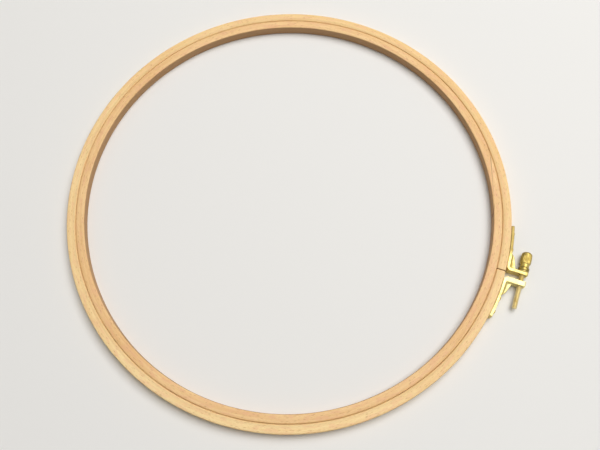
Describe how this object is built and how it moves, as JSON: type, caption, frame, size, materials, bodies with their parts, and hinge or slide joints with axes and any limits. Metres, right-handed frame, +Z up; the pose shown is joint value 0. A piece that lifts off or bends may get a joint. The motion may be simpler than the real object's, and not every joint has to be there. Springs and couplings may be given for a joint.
{
  "type": "embroidery hoop",
  "caption": "Wooden embroidery hoop: an inner hoop inside a split outer hoop, drawn together by a brass thumb screw between bracket ears.",
  "frame": {"origin": "on the underside, in the middle of the outline of the whole part, so the middle of the hoops is 7.95 mm to -X of it", "axes": "+Z up, square to the hoops, which lie flat; +X towards the clamp; the screw runs along Y with its knob at +Y"},
  "size_m": [0.3339, 0.318, 0.008],
  "materials": {
    "beech_inner": "sanded",
    "beech_outer": "sanded",
    "brass_strip": "pressed",
    "brass_tack": "pressed",
    "brass_turned": "turned"
  },
  "bodies": {
    "tapped_side_half": {"outer_hoop_tapped_side": "beech_outer", "tapped_side_bracket": "brass_strip", "tapped_side_tack_1": "brass_tack", "tapped_side_tack_2": "brass_tack"},
    "knob_side_half": {"outer_hoop_knob_side": "beech_outer", "knob_side_bracket": "brass_strip", "knob_side_tack_1": "brass_tack", "knob_side_tack_2": "brass_tack"},
    "inner_ring": {"inner_hoop": "beech_inner"},
    "screw_washer": {"washer": "brass_strip"},
    "clamp_screw": {"threaded_rod": "brass_turned", "thumb_knob": "brass_turned"}
  },
  "joints": [
    {"name": "inner_hoop_lift", "type": "slide", "parent": "tapped_side_half", "child": "inner_ring", "axis": [0, 0, 1], "range_m": [0, 0.03]},
    {"name": "outer_hoop_spread", "type": "hinge", "parent": "tapped_side_half", "child": "knob_side_half", "pos_m": [-0.1638, 0, 0.004], "axis": [0, 0, 1], "range_deg": [0, 1.67]},
    {"name": "screw_travel", "type": "slide", "parent": "tapped_side_half", "child": "screw_washer", "axis": [0, 1, 0], "range_m": [0, 0.00953]},
    {"name": "screw_turn", "type": "hinge", "parent": "screw_washer", "child": "clamp_screw", "pos_m": [0.16315, 0, 0.004], "axis": [0, 1, 0], "range_deg": [0, 4320]}
  ],
  "couplings": [
    {"joint": "screw_turn", "follows": "outer_hoop_spread", "ratio": 2588.1},
    {"joint": "screw_travel", "follows": "outer_hoop_spread", "m_per_rad": 0.32695}
  ]
}
